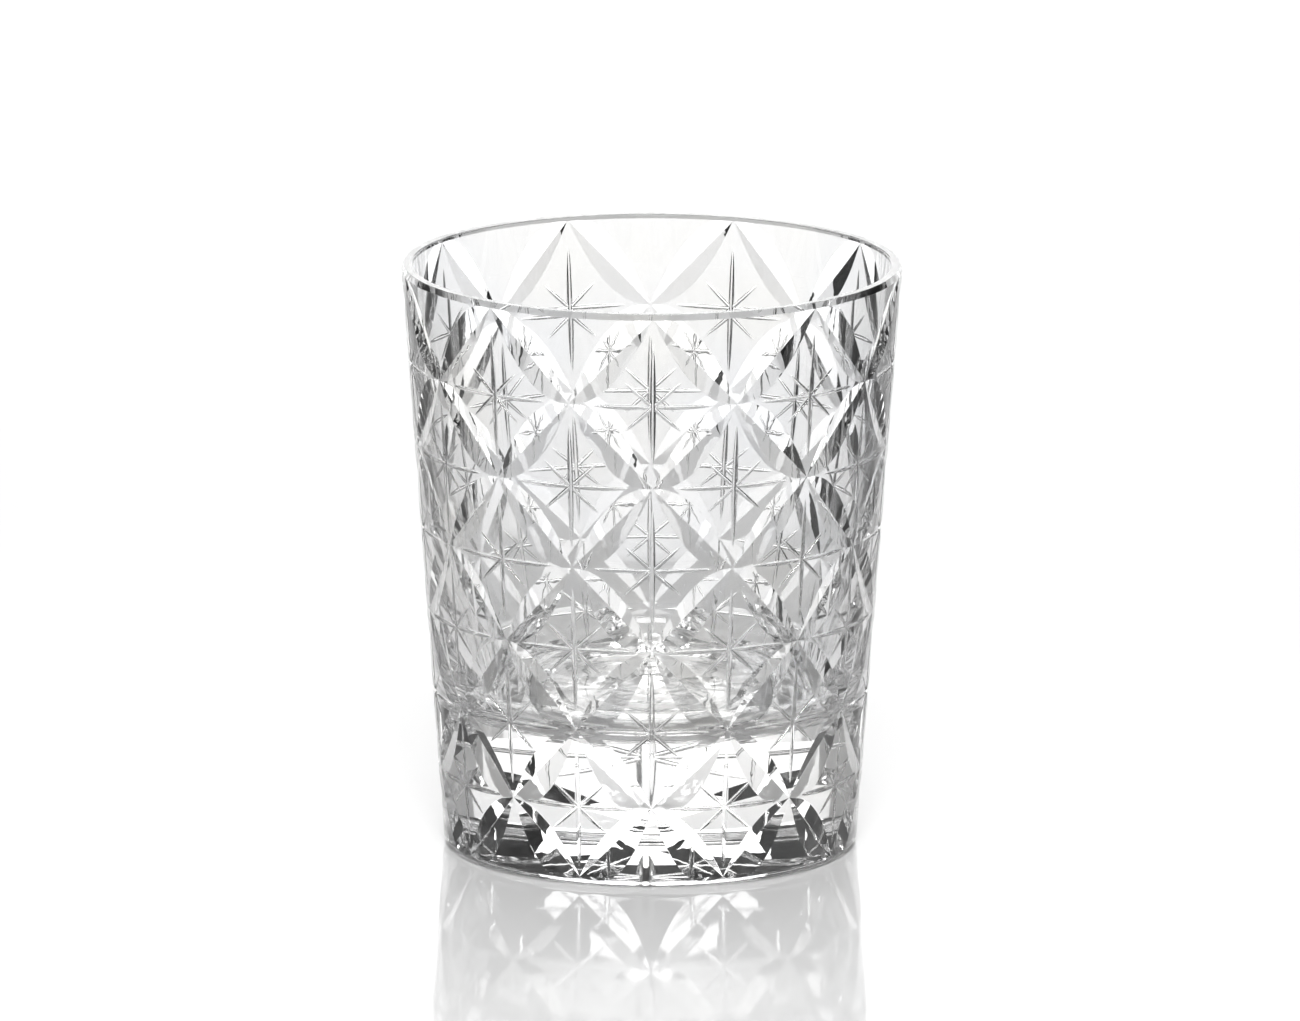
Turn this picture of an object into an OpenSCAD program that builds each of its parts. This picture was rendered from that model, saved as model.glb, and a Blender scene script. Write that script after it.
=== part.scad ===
// Cut-crystal whiskey tumbler: one piece of clear glass, millimetres, +Z up.
// The origin is the centre of the foot, on the surface the glass stands on.
// A conical blank with a thick base is hollowed, then decorated with mitre-wheel cuts:
// a lattice of leaf-shaped grooves, and an eight-rayed star in the middle of each diamond.

/* [Body] */
// Diameter over the top of the wall, just under the rim bevel
rim_d = 84.4; // [76:0.5:92]
// Overall height, foot to rim
height = 100; // [85:0.5:115]
// Diameter the wall's straight line would have at the table
foot_d = 70; // [60:0.1:80]
// Height of the ground bevel on the outside of the rim
rim_bevel_h = 1.0; // [0.4:0.1:2]
// How far the rim bevel steps in
rim_bevel_w = 0.35; // [0.1:0.05:1]
// Radius of the polished corner round the foot
foot_round = 1.6; // [0.8:0.1:3]

/* [Hollow] */
// Wall thickness where it is thinnest
wall_min = 1.7; // [1:0.1:3]
// Height at which the wall is thinnest
wall_min_z = 81; // [60:1:95]
// Radius of the long curve that thickens the wall towards the base
wall_curve_r = 320; // [200:10:600]
// Height of the inner floor, so the thickness of the base
floor_z = 24; // [12:0.5:35]
// Radius of the rounded corner between inner wall and floor
floor_round = 6; // [3:0.5:12]

/* [Underside] */
// Diameter of the shallow ground recess under the base
punt_d = 52; // [30:1:60]
// Depth of that recess at the centre
punt_depth = 0.8; // [0.3:0.1:2]

/* [Lattice] */
// Diamonds around the glass
columns = 9; // [6:1:12]
// Height from the lower edge of the rim bevel down to the second row of knots
top_gap = 15.0; // [12:0.1:18]
// Height between the rows in the middle of the wall
row_gap = 14.2; // [12:0.1:16]
// How much each of the two lowest gaps is shorter than the one above it
foot_squeeze = 0.9; // [0:0.1:2]
// Half the width of a leaf groove at its middle
leaf_half_w = 3.0; // [1.5:0.1:4]
// Gap left between the tip of a groove and its knot
tip_gap = 0.12; // [0:0.02:0.4]

/* [Stars] */
// Length of the upright arms
arm_up = 10.6; // [6:0.1:13]
// Length of the level arms
arm_level = 9.8; // [6:0.1:12]
// Length of the slanting arms
arm_slant = 6.3; // [3:0.1:7]
// Angle of the slanting arms from the level
slant_turn = 42; // [30:1:60]
// Depth of the star at its centre
star_depth = 0.45; // [0.2:0.01:0.8]
// Half width of the upright arms where they leave the centre
up_half_w = 0.5; // [0.2:0.01:0.8]
// Half width of the level arms where they leave the centre
level_half_w = 0.36; // [0.2:0.01:0.8]

/* [Hidden] */
$fn = 96;
rim_r = rim_d / 2;
foot_r = foot_d / 2;
lip_z = height - rim_bevel_h;
slope = atan((rim_r - foot_r) / lip_z);
step = 360 / columns;
row_z = [
    lip_z,
    lip_z - top_gap,
    lip_z - top_gap - row_gap,
    lip_z - top_gap - 2 * row_gap,
    lip_z - top_gap - 3 * row_gap,
    lip_z - top_gap - 4 * row_gap,
    lip_z - top_gap - 5 * row_gap + foot_squeeze,
    lip_z - top_gap - 6 * row_gap + 3 * foot_squeeze
];
last_row = len(row_z) - 1;
// How far the cutting tools stand out of the glass
air = 0.8;
// Small overlap that keeps joined shapes from only touching
eps = 0.01;

// Radius of the uncut outer wall at a height.
function wall_r(z) = foot_r + (rim_r - foot_r) * z / lip_z;

// Wall thickness at a height: a long curve that is thinnest near the top.
function wall_t(z) =
    wall_min + (z < wall_min_z ? 1 : 0.4) * pow(z - wall_min_z, 2) / (2 * wall_curve_r);

// Radius of the inner wall at a height.
function inner_r(z) = wall_r(z) - wall_t(z);

// A point mirrored left to right.
function flip_x(p) = [-p.x, p.y, p.z];

// How far the round wall falls back behind its tangent, at a distance to one side.
function wall_drop(z, across) = wall_r(z) - sqrt(pow(wall_r(z), 2) - across * across);

// Puts its children on the outer wall: x runs round the wall, y up it and z out of it.
module on_wall(angle, z) {
    rotate([0, 0, angle])
        translate([0, -wall_r(z), z])
            rotate([90 + slope, 0, 0])
                children();
}

// A straight V-shaped groove along x, centred, cut to a depth below the surface.
module groove(length, depth, half_w) {
    top_w = (depth + air) * half_w / depth;
    translate([-length / 2, 0, -depth])
        rotate([90, 0, 90])
            linear_extrude(height = length)
                polygon([[0, 0], [top_w, depth + air], [-top_w, depth + air]]);
}

// The solid turned shape before hollowing: cone, rim bevel and polished foot corner.
module blank() {
    corner_r = wall_r(foot_round) - foot_round;
    rotate_extrude()
        union() {
            polygon([
                [0, 0],
                [corner_r, 0],
                [corner_r, foot_round],
                [wall_r(foot_round), foot_round],
                [rim_r, lip_z],
                [rim_r - rim_bevel_w, height],
                [0, height]
            ]);
            translate([corner_r, foot_round])
                intersection() {
                    circle(r = foot_round);
                    translate([-eps, -foot_round])
                        square([foot_round + eps, foot_round]);
                }
        }
}

// The drinking space: a gently curved wall and a floor with a rounded corner.
module hollow() {
    corner_z = floor_z + floor_round;
    corner_r = inner_r(corner_z) - floor_round;
    wall_h = height + 1 - corner_z;
    wall = [for (i = [0 : 12]) let (z = corner_z + wall_h * i / 12) [inner_r(z), z]];
    rotate_extrude()
        union() {
            polygon(concat([[0, corner_z]], wall, [[0, height + 1]]));
            translate([0, floor_z])
                square([corner_r, floor_round + eps]);
            translate([corner_r, corner_z])
                intersection() {
                    circle(r = floor_round);
                    translate([-eps, -floor_round])
                        square([floor_round + eps, floor_round + eps]);
                }
        }
}

// The shallow dish ground into the underside, so the glass stands on a ring.
module punt() {
    dish_r = (pow(punt_d / 2, 2) + pow(punt_depth, 2)) / (2 * punt_depth);
    translate([0, 0, punt_depth - dish_r])
        sphere(r = dish_r);
}

// One leaf groove from a knot on row k down to the next knot, leaning left or right.
// It is cut straight, so it is deepest in the middle, where the round wall stands out most.
module leaf(angle, k, lean) {
    z_mid = (row_z[k] + row_z[k + 1]) / 2;
    rise = (row_z[k] - row_z[k + 1]) / cos(slope);
    across = 2 * wall_r(z_mid) * sin(step / 4);
    span = norm([across, rise]);
    depth = wall_drop(z_mid, (span / 2 - tip_gap) * across / span);
    on_wall(angle, z_mid)
        rotate([0, 0, lean * atan2(rise, across)])
            groove(span + 1, depth, leaf_half_w);
}

// Every leaf between row k and the next that lies to one side of its upper or lower knot.
module leaf_band(k, side) {
    for (c = [0 : columns - 1])
        leaf((c + side * 0.25) * step, k, (k % 2 == 0 ? -1 : 1) * side);
}

// The tip of a star arm on the round wall, seen from the star's centre.
function arm_tip(turn, length, z) = [
    length * cos(turn),
    length * sin(turn),
    -wall_drop(z, length * cos(turn))
];

// The eight-rayed star, cut as one faceted pit: its valleys run straight from the deepest
// point, at the centre, to the eight tips, and neighbouring arms meet in a notch.
module star(z) {
    pit = [0, 0, -star_depth];
    by_level = [level_half_w / tan(slant_turn / 2), level_half_w, 0];
    by_upright = [up_half_w, up_half_w / tan(45 - slant_turn / 2), 0];
    quarter = [
        arm_tip(0, arm_level, z),
        by_level,
        arm_tip(slant_turn, arm_slant, z),
        by_upright,
        arm_tip(90, arm_up, z),
        flip_x(by_upright),
        flip_x(arm_tip(slant_turn, arm_slant, z)),
        flip_x(by_level)
    ];
    outline = concat(quarter, [for (p = quarter) [-p.x, -p.y, p.z]]);
    // Tips and notches are carried on past the wall, along the facets they end.
    brim = [for (i = [0 : 15]) pit + (i % 2 == 0 ? 1.12 : 3) * (outline[i] - pit)];
    polyhedron(
        points = concat([pit, [0, 0, 2 * air]], brim),
        faces = [
            for (i = [0 : 15]) let (this = 2 + i, next = 2 + (i + 1) % 16)
                each [[0, this, next], [1, next, this]]
        ]
    );
}

// The stars of row k.
module star_band(k) {
    for (c = [0 : columns - 1])
        on_wall((c + (k % 2 == 0 ? 0.5 : 0)) * step, row_z[k])
            star(row_z[k]);
}

// The blank with the lattice cut into it, one diagonal of one gap at a time from the rim down.
module cut_lattice(cuts) {
    if (cuts == 0)
        blank();
    else
        difference() {
            cut_lattice(cuts - 1);
            leaf_band(floor((cuts - 1) / 2), cuts % 2 == 0 ? 1 : -1);
        }
}

// The lattice-cut blank with the stars cut as well, row by row.
module cut_stars(rows) {
    if (rows == 0)
        cut_lattice(2 * last_row);
    else
        difference() {
            cut_stars(rows - 1);
            star_band(rows);
        }
}

module tumbler() {
    color([0.93, 0.96, 0.97, 0.35])
        difference() {
            cut_stars(last_row - 1);
            hollow();
            punt();
        }
}

tumbler();
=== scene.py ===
"""Looks of the cut-crystal whiskey tumbler, in metres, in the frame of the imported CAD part.

The glass is turned, hollowed and cut again here with finer surfaces than the CAD solid has: the
leaf grooves have a slightly bent bed, the star rays are narrow with a round bottom, and every
corner carries the normal of the surface that it stands for, so that light bends as it does in
polished glass. The lights were chosen by comparing renders with the photograph.
"""
import math

import bmesh
import bpy
from mathutils import Matrix, Vector


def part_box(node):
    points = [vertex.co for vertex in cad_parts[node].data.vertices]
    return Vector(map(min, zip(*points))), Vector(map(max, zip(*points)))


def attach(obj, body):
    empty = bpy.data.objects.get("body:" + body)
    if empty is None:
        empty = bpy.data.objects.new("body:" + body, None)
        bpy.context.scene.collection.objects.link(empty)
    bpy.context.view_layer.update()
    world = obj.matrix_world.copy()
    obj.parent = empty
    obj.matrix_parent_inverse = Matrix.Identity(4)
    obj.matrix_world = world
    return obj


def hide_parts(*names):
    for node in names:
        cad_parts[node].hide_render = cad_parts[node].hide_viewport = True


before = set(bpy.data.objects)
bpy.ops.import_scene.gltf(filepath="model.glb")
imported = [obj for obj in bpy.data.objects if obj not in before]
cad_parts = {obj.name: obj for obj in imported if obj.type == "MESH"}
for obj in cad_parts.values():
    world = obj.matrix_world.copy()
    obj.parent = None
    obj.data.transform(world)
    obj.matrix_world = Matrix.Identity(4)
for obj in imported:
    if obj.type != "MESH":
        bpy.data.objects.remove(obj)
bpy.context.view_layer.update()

# ---------------------------------------------------------------- the blank, from the frame
LOW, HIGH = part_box("tumbler")
MM = 0.001
RIM_R = (HIGH.x - LOW.x) / 2
HEIGHT = HIGH.z
FOOT_TO_RIM = 0.8294
FOOT_R = FOOT_TO_RIM * RIM_R
BEVEL_H = 1.0 * MM
BEVEL_W = 0.35 * MM
LIP_Z = HEIGHT - BEVEL_H
FOOT_ROUND = 1.6 * MM
SLOPE = math.atan((RIM_R - FOOT_R) / LIP_Z)

# ---------------------------------------------------------------- the hollow and the underside
WALL_MIN = 1.7 * MM
WALL_MIN_Z = 81 * MM
WALL_CURVE_R = 320 * MM
WALL_TOP_BEND = 0.4
FLOOR_Z = 24 * MM
FLOOR_ROUND = 6 * MM
CORNER_RING = 0.015 * MM
FLOOR_RING = 0.03 * MM
RINGS = 6
LIP_ROUND = 0.25 * MM
PUNT_R = 26 * MM
PUNT_DEPTH = 0.8 * MM

# ---------------------------------------------------------------- how finely the blank is turned
SEGMENTS = 360
DISH_STEPS = 6
FOOT_STEPS = 8
LIP_STEPS = 4
WALL_STEPS = 30
CORNER_STEPS = 30
FLOOR_STEPS = 24

# ---------------------------------------------------------------- the lattice
COLUMNS = 9
STEP = math.tau / COLUMNS
TOP_GAP = 15.0 * MM
ROW_GAP = 14.2 * MM
FOOT_SQUEEZE = 0.9 * MM
EVEN_ROWS = 5
ROW_Z = [LIP_Z] + [LIP_Z - TOP_GAP - i * ROW_GAP for i in range(EVEN_ROWS)]
ROW_Z.append(ROW_Z[-1] - ROW_GAP + FOOT_SQUEEZE)
ROW_Z.append(ROW_Z[-1] - ROW_GAP + 2 * FOOT_SQUEEZE)
LEAF_DEPTH = 0.68 * MM
LEAF_HALF_W = 3.05 * MM
LEAF_TIP_GAP = 0.12 * MM
LEAF_TILT = math.radians(-1.2)
LEAF_TILT_PER_ROW = math.radians(0.75)
LEAF_OVERRUN = 0.5 * MM
LEAF_STEPS = 6

# ---------------------------------------------------------------- the stars
# Each pair of rays: its turn from the level, its half length, its depth and its half width.
RAYS = [
    (90, 10.6 * MM, 0.50 * MM, 0.45 * MM),
    (0, 9.8 * MM, 0.18 * MM, 0.38 * MM),
    (42, 6.3 * MM, 0.30 * MM, 0.38 * MM),
    (-42, 6.3 * MM, 0.30 * MM, 0.38 * MM),
]
# A ray has its half width where it is this deep, and narrows by a power of its depth.
RAY_WIDTH_DEPTH = 0.45 * MM
RAY_NARROWING = 0.6
RAY_MIN_HALF_W = 0.02 * MM
RAY_MIN_BED = 0.01 * MM
RAY_OVERRUN = 1.015
RAY_STEPS = 10
RAY_SPREAD = 1.2
RAY_SPREAD_STEPS = 4

# ---------------------------------------------------------------- the cutting
AIR = 0.8 * MM
WELD = 0.001 * MM
# A point nearer the axis than this is on it.
ON_AXIS = 1e-9
# How far to each side a slope is measured: as a share of a run, along a tool and across it.
RUN_NUDGE = 1e-3
ALONG_NUDGE = 1e-5
ACROSS_NUDGE = ALONG_NUDGE / MM

# ---------------------------------------------------------------- the materials
CRYSTAL_IOR = 1.55
STRIAE_SCALE = 45.0
STRIAE_DETAIL = 2.0
STRIAE_RANGE = (0.35, 0.65)
COOL_GLASS = (0.985, 0.99, 1.0, 1)
WARM_GLASS = (1.0, 0.997, 0.985, 1)
RIPPLE_SCALE = 1100.0
RIPPLE_DETAIL = 0.0
RIPPLE_HEIGHT = 0.007 * MM
BLOWN_RIPPLE = 0.04
GROUND_RIPPLE = 1.0
WORN_EDGE = 0.13 * MM
WORN_EDGE_SAMPLES = 4
TABLE_WHITE = 0.85
TABLE_IOR = 1.4
TABLE_GRAIN_SCALE = 30.0
TABLE_GRAIN_DETAIL = 3.0
TABLE_ROUGHNESS = (0.04, 0.06)

# ---------------------------------------------------------------- the studio
# Sizes are in metres and angles in degrees. The black cards are not lit: each gives off a faint
# painted glow instead, of the strength given for it.
WHITE = (1, 1, 1, 1)
TABLE_SIZE = 8
TABLE_Z = -0.00005
PANEL_Y = 1.3
PANEL_W = 2.6
PANEL_H = 0.42
PANEL_LIGHT = 2.07
SOFTBOX_Y = 0.2
SOFTBOX_Z = 1.1
SOFTBOX_W = 1.2
SOFTBOX_L = 2.2
SOFTBOX_LIGHT = 1.5
FLAG_X = 0.138
FLAG_Y = 0.2
FLAG_L = 0.36
FLAG_H = 0.5
# Painted glow of the black cards, the left one brighter than the right.
LEFT_CARD_GLOW = 0.04
RIGHT_CARD_GLOW = 0.01
CLOTH_W = 0.06
CLOTH_Z = 0.0005
LAMP_PLACE = (0, -0.75, 0.8)
LAMP_AIM = (0, -0.16, 0)
LAMP_SIZE = 0.3
LAMP_SPREAD = 30
LAMP_WATTS = 0.28
ROOM_LIGHT = 0.03

# ---------------------------------------------------------------- the camera
# The lens and the sensor are in millimetres, and the angles are in radians.
LENS = 432.24
SENSOR_W = 36
CAMERA_PLACE = (-0.0002, -2.5749, 0.64189)
LOOK_DOWN = 0.2233
CAMERA_ROLL = 0.0028
CAMERA_ORBIT = math.radians(-0.33)
CLIP = (0.1, 50)
GLASS_BOUNCES = 32
GLOSSY_BOUNCES = 16
DIFFUSE_BOUNCES = 3


def wall_r(z):
    """Radius of the uncut outer wall at a height."""
    return FOOT_R + (RIM_R - FOOT_R) * z / LIP_Z


def inner_r(z):
    """Radius of the inner wall: the glass is thinnest near the top and thickens to the base."""
    bend = 1.0 if z < WALL_MIN_Z else WALL_TOP_BEND
    return wall_r(z) - WALL_MIN - bend * (z - WALL_MIN_Z) ** 2 / (2 * WALL_CURVE_R)


def wall_drop(z, across):
    """How far the round wall falls back behind its tangent, at a distance to one side."""
    return wall_r(z) - math.sqrt(wall_r(z) ** 2 - across ** 2)


def on_wall(angle, z):
    """The frame on the outer wall: x runs round it, y up it and z out of it."""
    place = Matrix.Translation((0, -wall_r(z), z))
    return Matrix.Rotation(angle, 4, "Z") @ place @ Matrix.Rotation(math.pi / 2 + SLOPE, 4, "X")


# ---------------------------------------------------------------- meshes that know their normals
class Skin:
    """Vertices and faces, with the true surface normal at every corner of every face."""

    def __init__(self, ground=0.0):
        self.points = []
        self.faces = []
        self.normals = []
        self.ground = ground

    def add(self, face, normals):
        self.faces.append(face)
        self.normals.extend(normals)

    def placed(self, other, matrix):
        """Adds a copy of another skin, moved by a matrix."""
        start = len(self.points)
        turn = matrix.to_3x3()
        self.points.extend(matrix @ p for p in other.points)
        self.faces.extend([start + i for i in face] for face in other.faces)
        self.normals.extend(turn @ n for n in other.normals)

    def build(self, name):
        mesh = bpy.data.meshes.new(name)
        mesh.from_pydata(self.points, [], self.faces)
        facing = mesh.attributes.new("facing", "FLOAT_VECTOR", "CORNER")
        facing.data.foreach_set("vector", [c for n in self.normals for c in n])
        ground = mesh.attributes.new("ground", "FLOAT", "FACE")
        ground.data.foreach_set("value", [self.ground] * len(self.faces))
        obj = bpy.data.objects.new(name, mesh)
        bpy.context.scene.collection.objects.link(obj)
        return obj


def line(start, end):
    """A straight run of a turned profile."""
    return lambda t: Vector(start).lerp(Vector(end), t)


def arc(centre, radius, first, last):
    """A round run of a turned profile, between two angles in degrees."""
    def point(t):
        a = math.radians(first + (last - first) * t)
        return Vector(centre) + radius * Vector((math.cos(a), math.sin(a)))
    return point


def run_normal(run, t):
    """The outward normal of a run, which has the glass on its left."""
    a, b = max(0.0, t - RUN_NUDGE), min(1.0, t + RUN_NUDGE)
    along = run(b) - run(a)
    return Vector((along.y, -along.x)).normalized()


def rippled(run, waves, height):
    """A run with the faint rings that forming leaves in it, which fade out at its ends."""
    def point(t):
        swell = height * math.sin(math.pi * t) * math.sin(math.tau * waves * t)
        return run(t) + swell * run_normal(run, t)
    return point


def glass_profile():
    """The runs round half a section, from the middle of the underside out, up, in and down,
    each with the number of steps that it is turned in."""
    dish_r = (PUNT_R ** 2 + PUNT_DEPTH ** 2) / (2 * PUNT_DEPTH)
    dish_edge = math.degrees(math.asin(PUNT_R / dish_r))
    corner_x = wall_r(FOOT_ROUND) - FOOT_ROUND
    turn = math.degrees(SLOPE)
    corner = Vector((corner_x, FOOT_ROUND))
    corner_end = corner + FOOT_ROUND * Vector((math.cos(-SLOPE), math.sin(-SLOPE)))
    lip_in = inner_r(HEIGHT)
    floor_corner = Vector((inner_r(FLOOR_Z + FLOOR_ROUND) - FLOOR_ROUND, FLOOR_Z + FLOOR_ROUND))
    wall_from = HEIGHT - LIP_ROUND
    wall_to = FLOOR_Z + FLOOR_ROUND

    def inner_wall(t):
        z = wall_from + (wall_to - wall_from) * t
        return Vector((inner_r(z), z))

    return [
        (arc((0, PUNT_DEPTH - dish_r), dish_r, 90, 90 - dish_edge), DISH_STEPS),
        (line((PUNT_R, 0), (corner_x, 0)), 2),
        (arc(corner, FOOT_ROUND, -90, -turn), FOOT_STEPS),
        (line(corner_end, (RIM_R, LIP_Z)), 1),
        (line((RIM_R, LIP_Z), (RIM_R - BEVEL_W, HEIGHT)), 1),
        (line((RIM_R - BEVEL_W, HEIGHT), (lip_in + LIP_ROUND, HEIGHT)), 1),
        (arc((lip_in + LIP_ROUND, wall_from), LIP_ROUND, 90, 180), LIP_STEPS),
        (inner_wall, WALL_STEPS),
        (rippled(arc(floor_corner, FLOOR_ROUND, 0, -90), RINGS, CORNER_RING), CORNER_STEPS),
        (rippled(line((floor_corner.x, FLOOR_Z), (0, FLOOR_Z)), RINGS, FLOOR_RING), FLOOR_STEPS),
    ]


def turned(profile):
    """Turns a profile that starts and ends on the axis into a closed skin."""
    skin = Skin()
    rings = []

    def ring(point):
        first = len(skin.points)
        if point.x < ON_AXIS:
            skin.points.append(Vector((0, 0, point.y)))
            rings.append([first] * SEGMENTS)
            return
        for j in range(SEGMENTS):
            a = math.tau * j / SEGMENTS
            skin.points.append(Vector((point.x * math.cos(a), point.x * math.sin(a), point.y)))
        rings.append(list(range(first, first + SEGMENTS)))

    def spun(normal, j):
        a = math.tau * j / SEGMENTS
        return Vector((normal.x * math.cos(a), normal.x * math.sin(a), normal.y))

    ring(profile[0][0](0.0))
    for run, steps in profile:
        for i in range(steps):
            ring(run((i + 1) / steps))
            lower, upper = rings[-2], rings[-1]
            n0, n1 = run_normal(run, i / steps), run_normal(run, (i + 1) / steps)
            for j in range(SEGMENTS):
                k = (j + 1) % SEGMENTS
                corners = [(lower[j], n0, j), (lower[k], n0, k), (upper[k], n1, k), (upper[j], n1, j)]
                if lower[j] == lower[k]:
                    corners.pop(0)
                if upper[j] == upper[k]:
                    corners.pop()
                skin.add([c[0] for c in corners], [spun(c[1], c[2]) for c in corners])
    return skin


def cutter(stations, across, bed, flat):
    """A closed cutting tool. bed(x, u) is the surface that it leaves, u runs across it, and
    above the bed it stands straight up into the air. flat keeps the normal the same all the way
    across a face. The faces that only stand in the air get a placeholder for a normal."""
    skin = Skin()

    def normal(x, u):
        along = bed(x + ALONG_NUDGE, u) - bed(x - ALONG_NUDGE, u)
        over = bed(x, u + ACROSS_NUDGE) - bed(x, u - ACROSS_NUDGE)
        return along.cross(over).normalized()

    width = len(across)
    for x in stations:
        row = [bed(x, u) for u in across]
        skin.points.extend(row)
        skin.points.append(Vector((x, row[-1].y, AIR)))
        skin.points.append(Vector((x, row[0].y, AIR)))
    loop = width + 2
    for i in range(len(stations) - 1):
        a, b = i * loop, (i + 1) * loop
        for j in range(loop):
            k = (j + 1) % loop
            face = [a + k, b + k, b + j, a + j]
            if j < width - 1:
                u0, u1 = across[j], across[k]
                if flat:
                    u0 = u1 = (u0 + u1) / 2
                x0, x1 = stations[i], stations[i + 1]
                skin.add(face, [normal(x0, u1), normal(x1, u1), normal(x1, u0), normal(x0, u0)])
            else:
                skin.add(face, [Vector((0, 0, 1))] * 4)
    last = (len(stations) - 1) * loop
    skin.add(list(reversed(range(loop))), [Vector((0, 0, 1))] * loop)
    skin.add([last + j for j in range(loop)], [Vector((0, 0, 1))] * loop)
    return skin


# ---------------------------------------------------------------- the cuts
def leaf(k, lean):
    """The groove from a knot on row k down to the next: straight, so the round wall makes it
    deepest in the middle, with a bed that the wheel's rim bends in a little."""
    z = (ROW_Z[k] + ROW_Z[k + 1]) / 2
    rise = (ROW_Z[k] - ROW_Z[k + 1]) / math.cos(SLOPE)
    run = 2 * wall_r(z) * math.sin(STEP / 4)
    half = math.hypot(run, rise) / 2
    tip = half - LEAF_TIP_GAP
    tip_drop = wall_drop(z, tip * run / (2 * half))
    bend = LEAF_DEPTH - tip_drop
    face_slope = math.atan2(LEAF_DEPTH, LEAF_HALF_W)
    tilt = LEAF_TILT + k * LEAF_TILT_PER_ROW
    rise_up = math.tan(face_slope + tilt)
    rise_down = math.tan(face_slope - tilt)

    def bed(x, u):
        depth = tip_drop + bend * (1 - (x / tip) ** 2)
        side = (AIR + depth) / (rise_up if u > 0 else rise_down) * u
        return Vector((x, side, -depth + abs(u) * (AIR + depth)))

    reach = half + LEAF_OVERRUN
    stations = [reach * (i / LEAF_STEPS - 1) for i in range(2 * LEAF_STEPS + 1)]
    turn = Matrix.Rotation(lean * math.atan2(rise, run), 4, "Z")
    return cutter(stations, [-1, 0, 1], bed, True), turn, z


def ray(z, turn, length, depth_mid, half_w):
    """One pair of rays through a star's middle, with a parabola across its valley. The valley
    runs almost straight from the middle to each tip, so on the round wall the level and the
    slanting rays are deepest part of the way out."""
    tip_drop = wall_drop(z, length * math.cos(turn))

    def bed(x, u):
        s = abs(x) / length
        depth = depth_mid * (1 - s * s) + tip_drop * s - wall_drop(z, x * math.cos(turn))
        cut = max(depth, 0)
        w = half_w * (cut / RAY_WIDTH_DEPTH) ** RAY_NARROWING + RAY_MIN_HALF_W
        valley = -wall_drop(z, x * math.cos(turn)) - depth
        return Vector((x, u * w, valley + (cut + RAY_MIN_BED) * u * u))

    def station(i):
        return RAY_OVERRUN * length * math.sin(math.pi / 2 * (i / RAY_STEPS - 1))

    stations = [station(i) for i in range(2 * RAY_STEPS + 1)]
    across = [RAY_SPREAD * (j / RAY_SPREAD_STEPS - 1) for j in range(2 * RAY_SPREAD_STEPS + 1)]
    return cutter(stations, across, bed, False), Matrix.Rotation(turn, 4, "Z"), z


def lattice_tools():
    """Four tools, each the leaves of one diagonal in every second gap, so none overlap."""
    for parity in (0, 1):
        for side in (-1, 1):
            tool = Skin(ground=1.0)
            for k in range(parity, len(ROW_Z) - 1, 2):
                lean = (-1 if k % 2 == 0 else 1) * side
                shape, turn, z = leaf(k, lean)
                for c in range(COLUMNS):
                    tool.placed(shape, on_wall((c + side * 0.25) * STEP, z) @ turn)
            yield tool


def star_tools():
    """Four tools, each one pair of rays of every star."""
    for degrees, length, depth_mid, half_w in RAYS:
        tool = Skin()
        for k in range(1, len(ROW_Z) - 1):
            shape, turn, z = ray(ROW_Z[k], math.radians(degrees), length, depth_mid, half_w)
            shift = 0.5 if k % 2 == 0 else 0.0
            for c in range(COLUMNS):
                tool.placed(shape, on_wall((c + shift) * STEP, z) @ turn)
        yield tool


def cut(glass, tool):
    """Takes a tool away from the glass."""
    tool_obj = tool.build("tool")
    step = glass.modifiers.new("cut", "BOOLEAN")
    step.operation = "DIFFERENCE"
    step.solver = "MANIFOLD"
    step.object = tool_obj
    graph = bpy.context.evaluated_depsgraph_get()
    result = bpy.data.meshes.new_from_object(glass.evaluated_get(graph))
    glass.modifiers.clear()
    old = glass.data
    glass.data = result
    bpy.data.meshes.remove(old)
    bpy.data.objects.remove(tool_obj)


def weld(mesh):
    """Merges the corners that the cuts leave next to each other."""
    work = bmesh.new()
    work.from_mesh(mesh)
    bmesh.ops.remove_doubles(work, verts=work.verts, dist=WELD)
    work.to_mesh(mesh)
    work.free()


def polish(mesh):
    """Shades the mesh with the normals that its surfaces were made with."""
    count = len(mesh.loops)
    flat = [0.0] * (3 * count)
    mesh.attributes["facing"].data.foreach_get("vector", flat)
    normals = [Vector(flat[i:i + 3]).normalized() for i in range(0, 3 * count, 3)]
    mesh.shade_smooth()
    mesh.normals_split_custom_set(normals)
    mesh.attributes.remove(mesh.attributes["facing"])


# ---------------------------------------------------------------- materials
def node_material(name):
    material = bpy.data.materials.new(name)
    material.use_nodes = True
    return material, material.node_tree, material.node_tree.nodes["Principled BSDF"]


def noise(tree, scale, detail):
    """A noise in the object's own coordinates, features per metre."""
    place = tree.nodes.new("ShaderNodeTexCoord")
    texture = tree.nodes.new("ShaderNodeTexNoise")
    texture.inputs["Scale"].default_value = scale
    texture.inputs["Detail"].default_value = detail
    tree.links.new(place.outputs["Object"], texture.inputs["Vector"])
    return texture


def striae(tree):
    """Faint cooler and warmer streaks in the glass."""
    streaks = noise(tree, STRIAE_SCALE, STRIAE_DETAIL)
    ramp = tree.nodes.new("ShaderNodeValToRGB")
    ramp.color_ramp.elements[0].position = STRIAE_RANGE[0]
    ramp.color_ramp.elements[0].color = COOL_GLASS
    ramp.color_ramp.elements[1].position = STRIAE_RANGE[1]
    ramp.color_ramp.elements[1].color = WARM_GLASS
    tree.links.new(streaks.outputs["Fac"], ramp.inputs["Fac"])
    return ramp.outputs["Color"]


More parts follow.
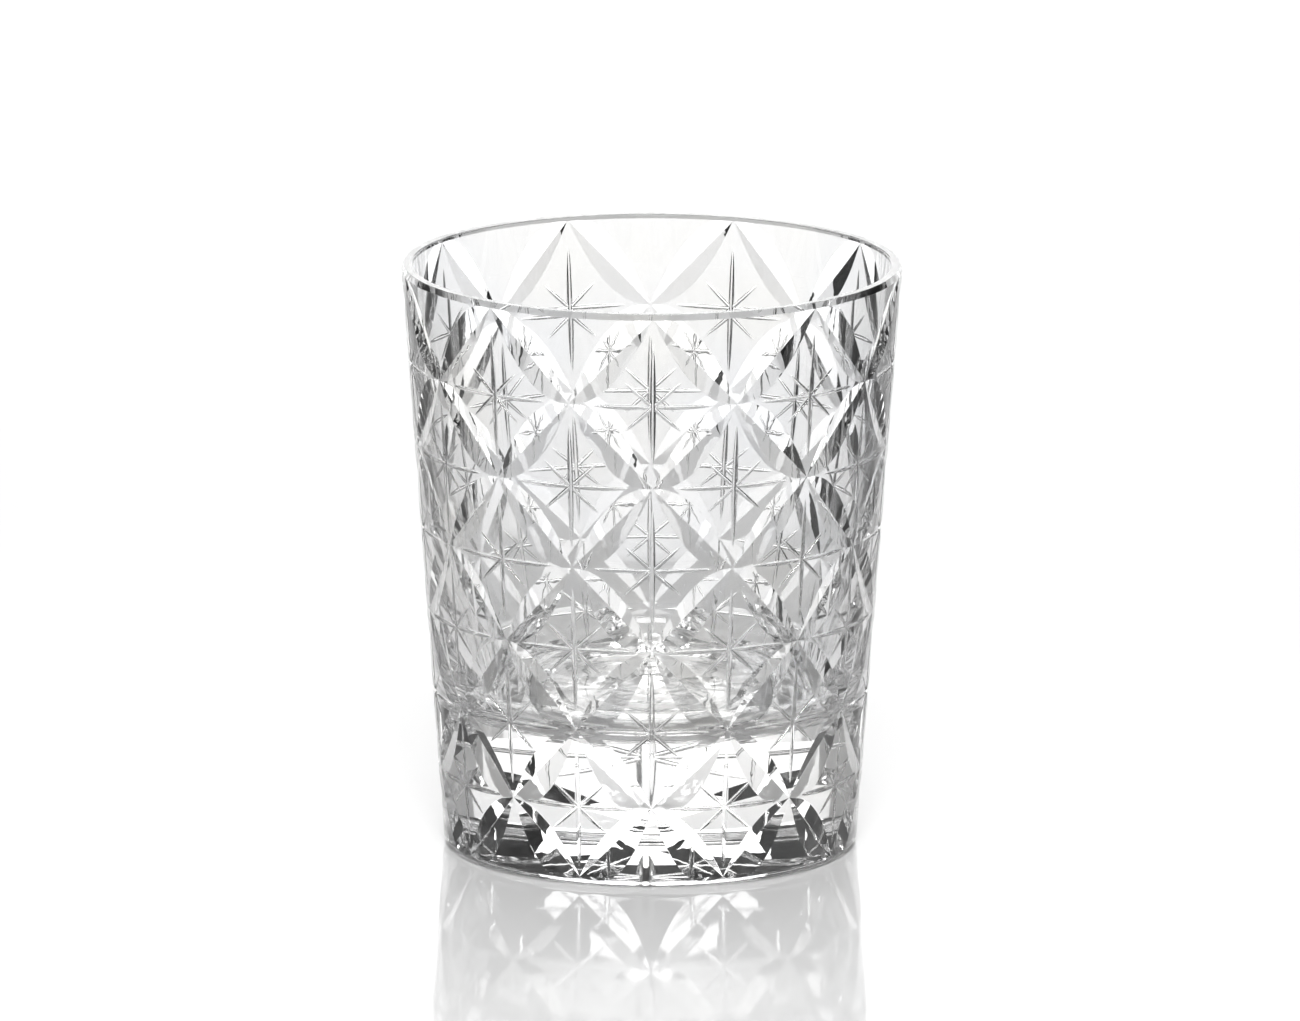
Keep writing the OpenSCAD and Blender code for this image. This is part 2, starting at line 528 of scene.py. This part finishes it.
def worked_skin(tree):
    """A barely wavy skin, the stronger ripple that hand polishing leaves on the ground leaf
    facets, and slightly worn edges."""
    ripple = noise(tree, RIPPLE_SCALE, RIPPLE_DETAIL)
    ground = tree.nodes.new("ShaderNodeAttribute")
    ground.attribute_name = "ground"
    amount = tree.nodes.new("ShaderNodeMapRange")
    amount.inputs["To Min"].default_value = BLOWN_RIPPLE
    amount.inputs["To Max"].default_value = GROUND_RIPPLE
    tree.links.new(ground.outputs["Fac"], amount.inputs["Value"])
    bump = tree.nodes.new("ShaderNodeBump")
    bump.inputs["Distance"].default_value = RIPPLE_HEIGHT
    tree.links.new(amount.outputs["Result"], bump.inputs["Strength"])
    tree.links.new(ripple.outputs["Fac"], bump.inputs["Height"])
    worn = tree.nodes.new("ShaderNodeBevel")
    worn.samples = WORN_EDGE_SAMPLES
    worn.inputs["Radius"].default_value = WORN_EDGE
    tree.links.new(worn.outputs["Normal"], bump.inputs["Normal"])
    return bump.outputs["Normal"]


def crystal():
    """Clear crystal glass."""
    material, tree, shader = node_material("cut_crystal")
    shader.inputs["Roughness"].default_value = 0.0
    shader.inputs["IOR"].default_value = CRYSTAL_IOR
    shader.inputs["Transmission Weight"].default_value = 1.0
    tree.links.new(striae(tree), shader.inputs["Base Color"])
    tree.links.new(worked_skin(tree), shader.inputs["Normal"])
    return material


def gloss_white():
    """The pale glossy table."""
    material, tree, shader = node_material("gloss_table")
    shader.inputs["Base Color"].default_value = (TABLE_WHITE, TABLE_WHITE, TABLE_WHITE, 1)
    shader.inputs["IOR"].default_value = TABLE_IOR
    grain = noise(tree, TABLE_GRAIN_SCALE, TABLE_GRAIN_DETAIL)
    spread = tree.nodes.new("ShaderNodeMapRange")
    spread.inputs["To Min"].default_value = TABLE_ROUGHNESS[0]
    spread.inputs["To Max"].default_value = TABLE_ROUGHNESS[1]
    tree.links.new(grain.outputs["Fac"], spread.inputs["Value"])
    tree.links.new(spread.outputs["Result"], shader.inputs["Roughness"])
    return material


def glow(name, strength):
    """A surface that gives off an even white light and nothing else."""
    material, tree, shader = node_material(name)
    tree.nodes.remove(shader)
    light = tree.nodes.new("ShaderNodeEmission")
    light.inputs["Color"].default_value = WHITE
    light.inputs["Strength"].default_value = strength
    tree.links.new(light.outputs[0], tree.nodes["Material Output"].inputs["Surface"])
    return material


# ---------------------------------------------------------------- the glass
def make_tumbler():
    glass = turned(glass_profile()).build("cut_tumbler")
    for tool in lattice_tools():
        cut(glass, tool)
    for tool in star_tools():
        cut(glass, tool)
    weld(glass.data)
    polish(glass.data)
    glass.data.materials.clear()
    glass.data.materials.append(crystal())
    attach(glass, "root")
    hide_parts("tumbler")
    return glass


# ---------------------------------------------------------------- the studio
def card(name, centre, turn, width, height, material):
    """A flat rectangle that faces along its own Z, turned by angles in degrees."""
    w, h = width / 2, height / 2
    mesh = bpy.data.meshes.new(name)
    mesh.from_pydata([(-w, -h, 0), (w, -h, 0), (w, h, 0), (-w, h, 0)], [], [(0, 1, 2, 3)])
    mesh.materials.append(material)
    obj = bpy.data.objects.new(name, mesh)
    obj.location = centre
    obj.rotation_euler = [math.radians(a) for a in turn]
    bpy.context.scene.collection.objects.link(obj)
    return obj


def studio():
    """A lit panel behind, a softbox above, a black flag at each side and black cloth at the
    foot of the right one. All of them are hidden from the camera, though the cloth lies inside
    the picture. The black cards are hidden from the table as well and throw no shadow, so they
    show only through the glass, where they give the cuts dark edges. They are not lit but give
    off a faint painted glow, the left flag more than the right flag and the cloth. No real
    stage does that."""
    card("table", (0, 0, TABLE_Z), (0, 0, 0), TABLE_SIZE, TABLE_SIZE, gloss_white())
    panel = glow("panel_glow", PANEL_LIGHT)
    softbox = glow("softbox_glow", SOFTBOX_LIGHT)
    # The black cards get only an emission: a faint painted glow, not light from the lamps.
    left_black_glow = glow("left_black_glow", LEFT_CARD_GLOW)
    right_black_glow = glow("right_black_glow", RIGHT_CARD_GLOW)
    cloth_at = (FLAG_X - CLOTH_W / 2, FLAG_Y, CLOTH_Z)
    black_cards = [
        card("left_flag", (-FLAG_X, FLAG_Y, FLAG_H / 2), (90, 0, 90), FLAG_L, FLAG_H, left_black_glow),
        card("right_flag", (FLAG_X, FLAG_Y, FLAG_H / 2), (90, 0, 90), FLAG_L, FLAG_H, right_black_glow),
        card("right_cloth", cloth_at, (0, 0, 0), CLOTH_W, FLAG_L, right_black_glow),
    ]
    for obj in black_cards:
        obj.visible_diffuse = False
        obj.visible_glossy = False
        obj.visible_shadow = False
    lit_cards = [
        card("back_panel", (0, PANEL_Y, PANEL_H / 2), (90, 0, 0), PANEL_W, PANEL_H, panel),
        card("top_softbox", (0, SOFTBOX_Y, SOFTBOX_Z), (180, 0, 0), SOFTBOX_W, SOFTBOX_L, softbox),
    ]
    for obj in black_cards + lit_cards:
        obj.visible_camera = False
    table_light()
    world = bpy.data.worlds.new("dim_room")
    world.use_nodes = True
    room = world.node_tree.nodes["Background"]
    room.inputs["Color"].default_value = WHITE
    room.inputs["Strength"].default_value = ROOM_LIGHT
    bpy.context.scene.world = world


def table_light():
    """A gridded lamp above and in front, aimed at the table before the glass. It reaches the
    glass too."""
    data = bpy.data.lights.new("table_light", "AREA")
    data.shape = "SQUARE"
    data.size = LAMP_SIZE
    data.spread = math.radians(LAMP_SPREAD)
    data.energy = LAMP_WATTS
    obj = bpy.data.objects.new("table_light", data)
    obj.location = LAMP_PLACE
    obj.rotation_euler = (Vector(LAMP_AIM) - Vector(LAMP_PLACE)).to_track_quat("-Z", "Y").to_euler()
    bpy.context.scene.collection.objects.link(obj)


def camera():
    """Looks down on the glass through a long lens, from well in front and a hair to the left."""
    data = bpy.data.cameras.new("camera")
    data.sensor_width = SENSOR_W
    data.lens = LENS
    data.clip_start, data.clip_end = CLIP
    obj = bpy.data.objects.new("camera", data)
    orbit = Matrix.Rotation(CAMERA_ORBIT, 4, "Z")
    place = Matrix.Translation(CAMERA_PLACE)
    look_down = Matrix.Rotation(math.pi / 2 - LOOK_DOWN, 4, "X")
    roll = Matrix.Rotation(CAMERA_ROLL, 4, "Z")
    obj.matrix_world = orbit @ place @ look_down @ roll
    bpy.context.scene.collection.objects.link(obj)
    bpy.context.scene.camera = obj


def look():
    """Plain colours, and enough bounces for light to find its way through the cuts."""
    scene = bpy.context.scene
    scene.view_settings.view_transform = "Standard"
    scene.cycles.max_bounces = GLASS_BOUNCES
    scene.cycles.transmission_bounces = GLASS_BOUNCES
    scene.cycles.glossy_bounces = GLOSSY_BOUNCES
    scene.cycles.diffuse_bounces = DIFFUSE_BOUNCES
    scene.cycles.caustics_refractive = True
    scene.cycles.caustics_reflective = True


make_tumbler()
studio()
camera()
look()
